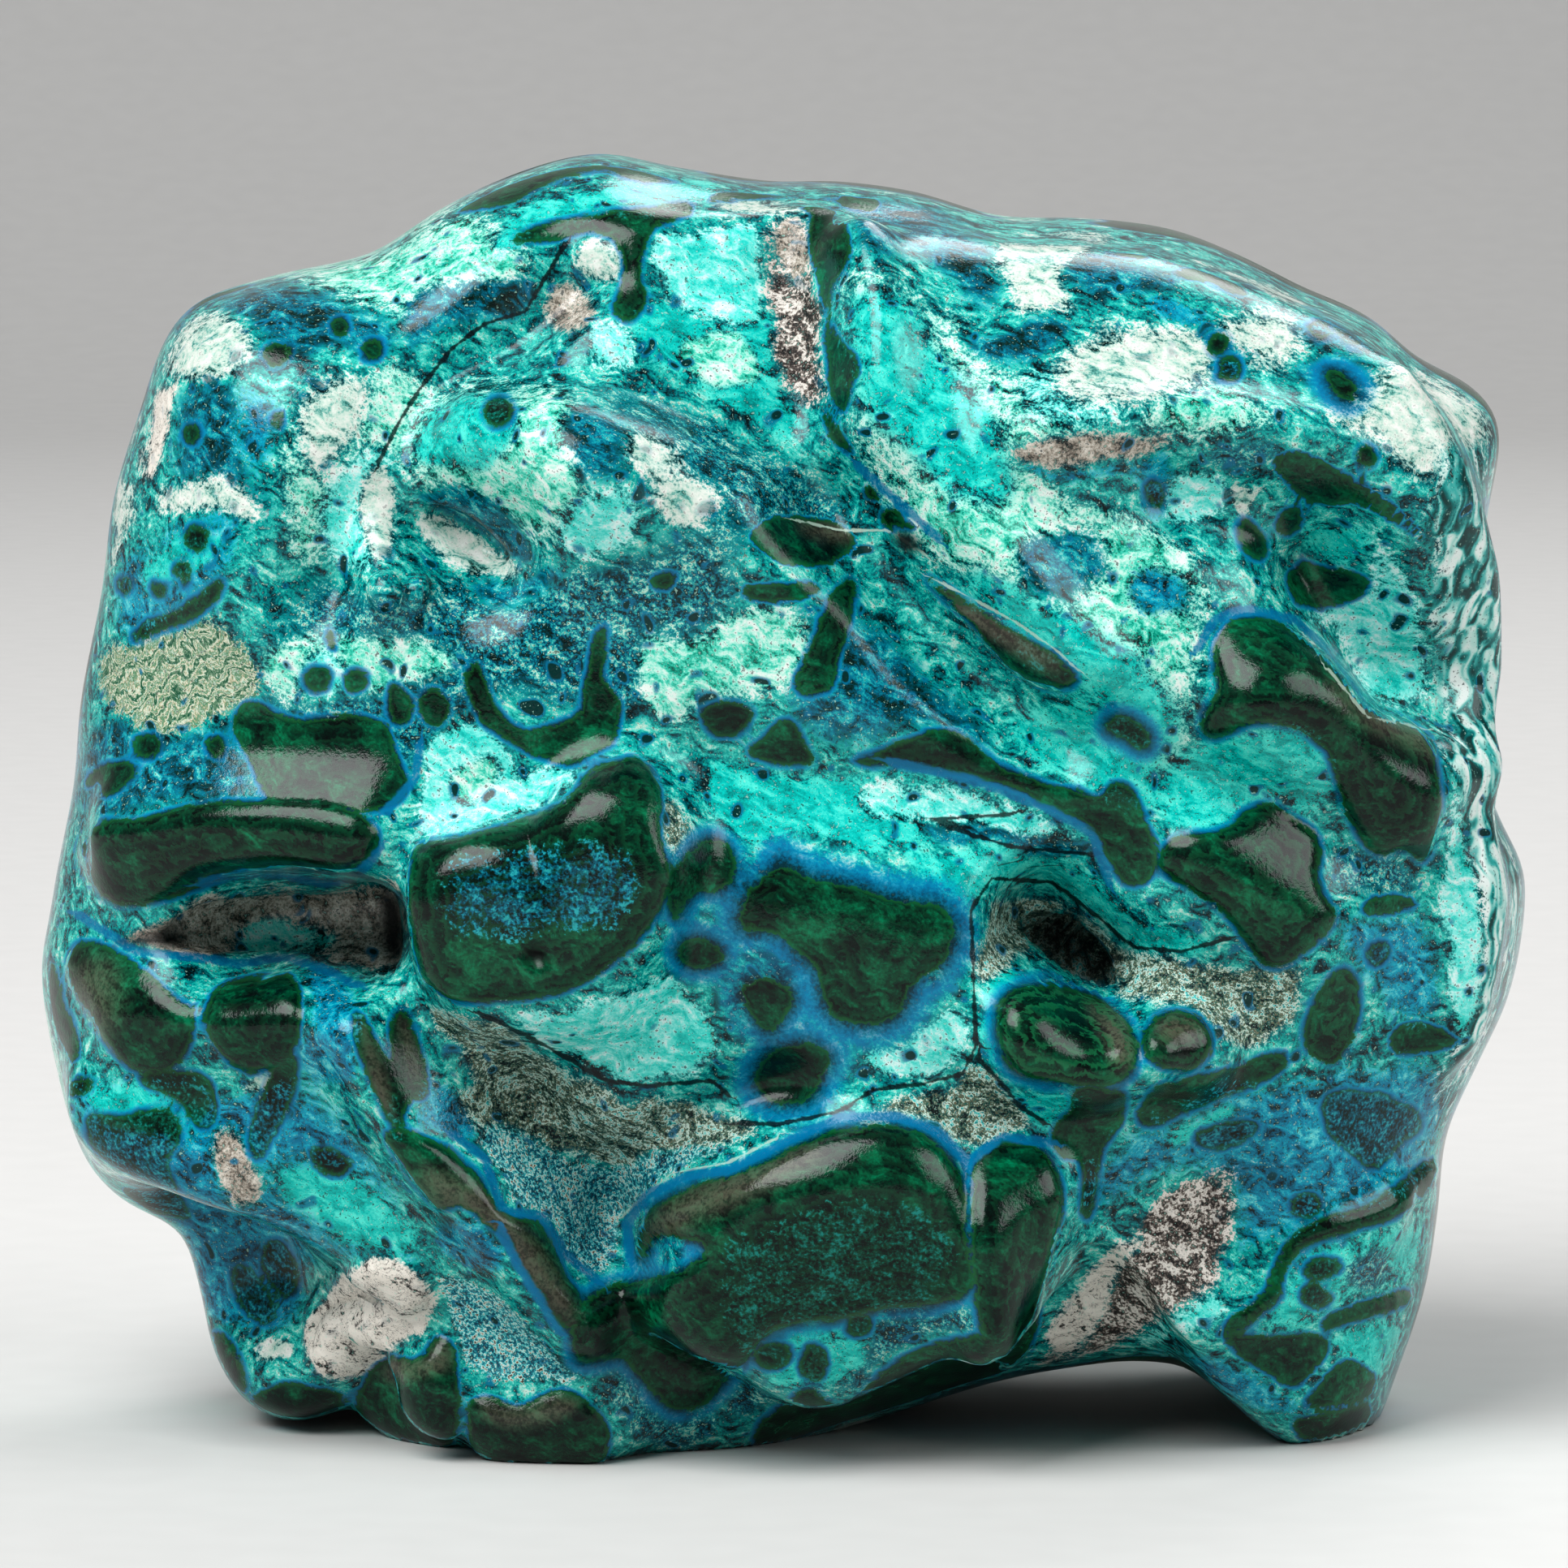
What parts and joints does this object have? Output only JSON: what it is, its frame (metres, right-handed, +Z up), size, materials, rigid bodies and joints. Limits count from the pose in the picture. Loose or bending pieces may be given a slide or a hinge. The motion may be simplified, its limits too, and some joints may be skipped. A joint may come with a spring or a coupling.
{
  "type": "chrysocolla specimen",
  "caption": "Polished boulder of chrysocolla and malachite with pits, ledges and an arch between its feet; it stands upright on flat-ground feet as a display specimen.",
  "frame": {"origin": "under the middle of the stone's box, on the floor it stands on", "axes": "+Z up; the show face looks along -Y; +X to the right as the show face is seen, along the stone's longest side"},
  "size_m": [0.1274, 0.082, 0.109],
  "materials": {
    "polished_stone": "polished stone with a glassy sheen, roughness about 0.25; green and turquoise pattern made in the visual model"
  },
  "bodies": {
    "root": {"stone": "polished_stone"}
  },
  "joints": []
}
